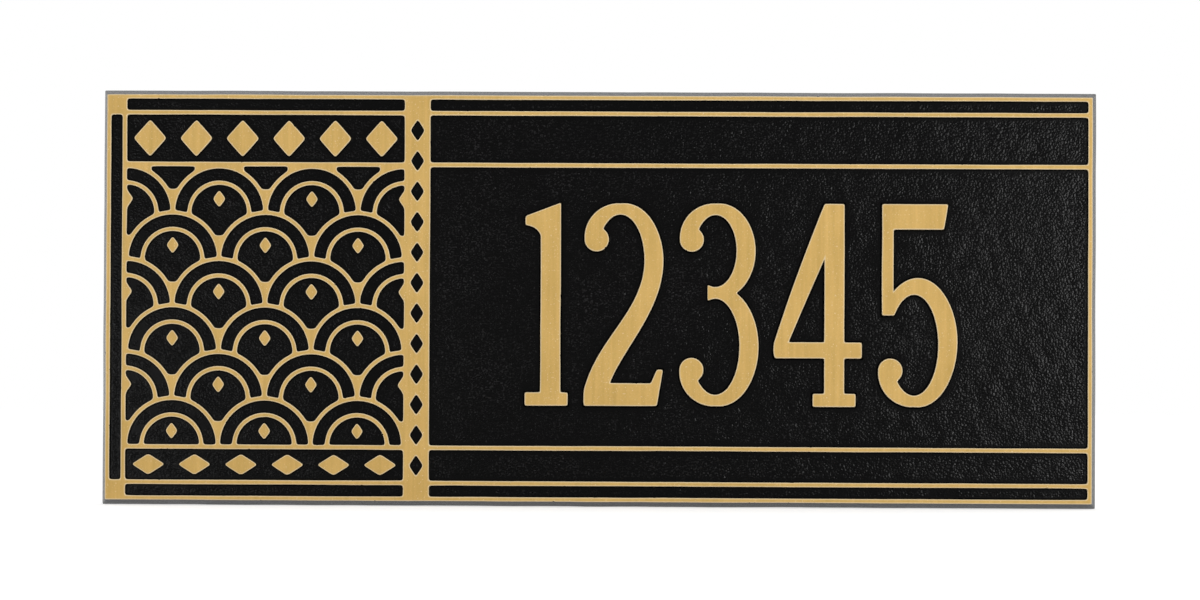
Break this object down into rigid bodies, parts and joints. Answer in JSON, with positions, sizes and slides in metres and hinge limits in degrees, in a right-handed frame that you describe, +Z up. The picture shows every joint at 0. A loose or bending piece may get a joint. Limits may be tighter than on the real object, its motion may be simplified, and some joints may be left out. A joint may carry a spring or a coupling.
{
  "type": "address plaque",
  "caption": "Rectangular cast address plaque with a raised border, a scallop ornament panel and tall raised house-number figures, and a hollow back with tapped bosses for hidden wall studs.",
  "frame": {"origin": "middle of the back, on the wall, which is also the centre of the four stud holes", "axes": "+X to the right along the length, +Y from the front into the wall, +Z up"},
  "size_m": [0.3754, 0.0103, 0.157],
  "materials": {
    "painted_casting": "black wrinkle paint on the ground, satin gold paint on the raised faces"
  },
  "bodies": {
    "root": {"address_plaque": "painted_casting"}
  },
  "joints": []
}
